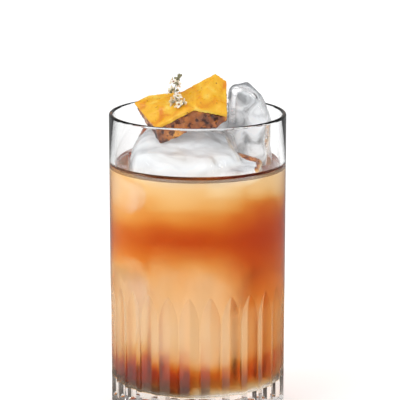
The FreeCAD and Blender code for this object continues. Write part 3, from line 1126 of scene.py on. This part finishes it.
# The pin holes are dark spots painted on the wax: a painted shade of small holes.
hole_shade_spots = patches(tree, 900.0, 2.0, greys((0.30, 1.0), (0.37, 0.0)))
drift = patches(tree, 220.0, 1.0, greys((0.48, 0.0), (0.62, 1.0)))
pin_hole_shade = blended(tree, 1.0, hole_shade_spots, drift, "MULTIPLY")
colour = blended(tree, pin_hole_shade, body, (0.35, 0.10, 0.010))
gloss = patches(tree, 400.0, 2.0, greys((0.3, 0.25), (0.7, 0.5)))
finish_matt(tree, surface, output, colour, (700.0, 3.0, 0.5, 0.15 * MM), gloss)
print("wax finish:", len(tree.nodes), "nodes")

# %% Honey in open cells
honey, tree, output = empty_material("comb_cells")
surface = place(tree, "ShaderNodeBsdfPrincipled", IOR=1.48, Subsurface_Weight=0.15,
                Subsurface_Radius=(2.0, 0.8, 0.3), Subsurface_Scale=MM, Coat_Weight=0.4,
                Coat_Roughness=0.15)
body = patches(tree, 130.0, 4.0, [
    (0.38, (0.09, 0.025, 0.014)),
    (0.47, (0.26, 0.075, 0.020)),
    (0.56, (0.45, 0.14, 0.026)),
    (0.68, (0.72, 0.31, 0.04)),
], stretch=(1, 1, 0.6), distortion=1.0)
# The pits are near black spots from a finer noise: painted shade in the cells.
pit_shade = patches(tree, 480.0, 3.0, [(0.40, (0.20, 0.11, 0.09)), (0.50, (1.0, 1.0, 1.0))])
colour = blended(tree, 1.0, body, pit_shade, "MULTIPLY")
gloss = patches(tree, 500.0, 2.0, greys((0.3, 0.2), (0.7, 0.55)))
finish_matt(tree, surface, output, colour, (600.0, 4.0, 0.8, 0.25 * MM), gloss)
print("honey finish:", len(tree.nodes), "nodes")

# %% Dress the comb
for piece, material, node, slot in ((comb_cap, wax, "comb_cap", "comb_wax"),
                                    (comb_cells, honey, "comb_cells", "comb_body")):
    piece.data.materials.append(material)
    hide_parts(node)
    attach(piece, "root")
    print(piece.name, "wears", material.name)

# %% [markdown]
# ## The sprig of blossom
# A sprig no longer than a fingernail: a thin bent stem, small open flowers of five petals, and
# grey-green buds at its tip. One petal is shaped from a flat grid, given a thickness and copied
# round to make a flower. Its outline and its cupped form are curves in two directions, which no
# edit-mode step draws, so a formula places the grid's corners.

# %% One petal, one flower
PETALS = 5
PETAL_LENGTH = 1.9 * MM
PETAL_WIDTH = 1.5 * MM
PETAL_THICKNESS = 0.12 * MM
HEART_ROOM = 0.12
CREASE = 60

petal = started("petal", bpy.ops.mesh.primitive_grid_add,
                x_subdivisions=4, y_subdivisions=5, size=1)
for vertex in petal.data.vertices:
    along = vertex.co.y + 0.5
    width = math.sin(math.pi * (0.12 + 0.80 * along)) ** 0.8
    across = vertex.co.x * width
    cupped = 0.35 * across ** 2 + 0.28 * along ** 2 - 0.10 * along
    vertex.co = (across * PETAL_WIDTH, (HEART_ROOM + along) * PETAL_LENGTH,
                 cupped * PETAL_LENGTH)
apply_modifier(petal, "SOLIDIFY", thickness=PETAL_THICKNESS, offset=0.0)
apply_modifier(petal, "SUBSURF", levels=1, render_levels=1)
flower = joined([turned_copy(petal, math.tau * index / PETALS) for index in range(PETALS)])
bpy.data.objects.remove(petal)
smooth(flower, CREASE)
print("flower triangles:", triangles(flower))

# %% [markdown]
# ## Hearts, cups and buds
# Three small knobs complete the plant: the heart in the middle of a flower, the green cup under
# it and the closed bud. All are one shape at three sizes, an icosphere that is drawn together
# towards its foot and stretched.

# %% Heart, cup and bud
FOOT_TAPER = 0.45


def knob(name, radius, squash, height):
    """A small rounded knob: an icosphere squashed along Z, its lower half drawn to a point."""
    piece = started(name, bpy.ops.mesh.primitive_ico_sphere_add, subdivisions=2, radius=radius)
    for vertex in piece.data.vertices:
        below = max(0.0, -vertex.co.z / radius)
        vertex.co.x *= 1 - FOOT_TAPER * below
        vertex.co.y *= 1 - FOOT_TAPER * below
        vertex.co.z = vertex.co.z * squash + height
    smooth(piece, ALL_SMOOTH)
    return piece


heart = knob("heart", radius=0.42 * MM, squash=0.8, height=0.25 * MM)
cup = knob("cup", radius=0.62 * MM, squash=1.5, height=-0.55 * MM)
bud = knob("bud", radius=0.62 * MM, squash=1.7, height=0.6 * MM)
print("knob triangles:", [triangles(piece) for piece in (heart, cup, bud)])

# %% [markdown]
# ## The bent stem
# The stem is a small circle, extruded step by step along a bow and shrunk a little at each
# step. It lies on the comb's front slope and its tip stands free.

# %% Stem
STEM_SIDES = 8
STEM_RADIUS = 0.34 * MM
STEM_STEPS = 12
STEM_THINNING = 0.96

foot = Vector((-5.6, -9.2, (RIM / MM) + 2.6)) * MM
tip = Vector((-6.9, 1.6, (RIM / MM) + 14.4)) * MM
bend_out = Vector((-3.0, -1.2, 0.6)) * MM


def stem_at(share):
    """Point on the stem's bow."""
    return foot.lerp(tip, share) + bend_out * 4 * share * (1 - share)


stem = started("sprig_greens", bpy.ops.mesh.primitive_circle_add,
               vertices=STEM_SIDES, radius=STEM_RADIUS, fill_type="NGON")
heading = (stem_at(0.1) - stem_at(0.0)).to_track_quat("Z", "Y").to_matrix().to_4x4()
stem.data.transform(Matrix.Translation(stem_at(0.0)) @ heading)
bpy.ops.object.mode_set(mode="EDIT")
bpy.ops.mesh.select_all(action="SELECT")
for step in range(STEM_STEPS):
    here, there = stem_at(step / STEM_STEPS), stem_at((step + 1) / STEM_STEPS)
    bpy.ops.mesh.extrude_region_move(TRANSFORM_OT_translate={"value": there - here})
    bpy.ops.transform.resize(value=grey(STEM_THINNING), center_override=there)
bpy.ops.object.mode_set(mode="OBJECT")
clean_mesh(stem)
smooth(stem, CREASE)
print(f"stem {(tip - foot).length / MM:.1f} mm from end to end")

# %% [markdown]
# ## What grows on the stem
# Flowers and buds are copied along the stem, each one turned by the golden angle from the one
# before, as plants do it, and tilted more towards the tip the higher it sits.

# %% Flowers and buds in a spiral
def set_on_stem(pattern, spot, out, size):
    """A copy of a flower or bud at a spot, its axis turned to out."""
    copy = own_copy(pattern.name, pattern.data)
    turn = Vector(out).to_track_quat("Z", "Y").to_matrix().to_4x4()
    copy.data.transform(Matrix.Translation(spot) @ turn @ Matrix.Scale(size, 4))
    return copy


GOLDEN_TURN = math.radians(137.5)
FLOWERS = 11
BUDS = 9
upward = (tip - foot).normalized()
sideways = upward.cross(Vector((1, 0, 0))).normalized()


def outward(index, start, lift):
    """The direction in which the flower or bud of that number grows."""
    around = Matrix.Rotation(GOLDEN_TURN * index + start, 3, upward) @ sideways
    return (around + upward * lift).normalized()


petals, hearts, greens = [], [], [stem]
for index in range(FLOWERS):
    share = 0.08 + 0.072 * index
    out = outward(index, 2.6, 0.25 + 0.5 * share)
    spot = stem_at(share) + out * (1.6 + 0.5 * (index % 3)) * MM
    for pattern, kind in ((flower, petals), (heart, hearts), (cup, greens)):
        kind.append(set_on_stem(pattern, spot, out, 1.12 - 0.45 * share))
for index in range(BUDS):
    share = 0.80 + 0.026 * index
    out = outward(index, 0.8, 0.6 + 0.2 * index)
    greens.append(set_on_stem(bud, stem_at(share) + out * 0.5 * MM, out, 1.05 - 0.04 * index))
for pattern in (flower, heart, cup, bud):
    bpy.data.objects.remove(pattern)

# %% One piece of each colour
sprig_petals, sprig_hearts, sprig_greens = joined(petals), joined(hearts), joined(greens)
sprig_petals.name, sprig_hearts.name = "sprig_petals", "sprig_hearts"
for piece in (sprig_petals, sprig_hearts, sprig_greens):
    print(piece.name, "triangles:", triangles(piece))

# %% [markdown]
# ## Petals, hearts and greens
# Petals are thin and let light through, so they have the most subsurface light. All three kinds
# are matt, with a fine grain and a colour that wanders from flower to flower.

# %% Finishes of the sprig
def plant_finish(name, stops, scale, soft):
    """A matt plant surface with colour that wanders, and light that comes a little through."""
    material, tree, output = empty_material(name)
    surface = place(tree, "ShaderNodeBsdfPrincipled", Roughness=0.6, Subsurface_Weight=soft,
                    Subsurface_Radius=(1.0, 0.8, 0.6), Subsurface_Scale=0.5 * MM)
    colour = patches(tree, scale, 2.0, stops)
    finish_matt(tree, surface, output, colour, (2500.0, 2.0, 0.4, 0.05 * MM))
    return material


petal_finish = plant_finish("petals", [
    (0.35, (0.80, 0.62, 0.36)), (0.50, (0.90, 0.82, 0.64)), (0.65, (0.92, 0.80, 0.74))],
    500.0, 0.3)
heart_finish = plant_finish("flower_hearts", [
    (0.40, (0.30, 0.04, 0.02)), (0.60, (0.55, 0.38, 0.06))], 420.0, 0.0)
green_finish = plant_finish("sprig_green", [
    (0.35, (0.13, 0.12, 0.06)), (0.50, (0.27, 0.25, 0.13)), (0.65, (0.42, 0.40, 0.30))],
    600.0, 0.1)
for piece, material in ((sprig_petals, petal_finish), (sprig_hearts, heart_finish),
                        (sprig_greens, green_finish)):
    piece.data.materials.clear()
    piece.data.materials.append(material)
    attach(piece, "root")
    print(piece.name, "wears", material.name)
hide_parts("blossom_sprig")
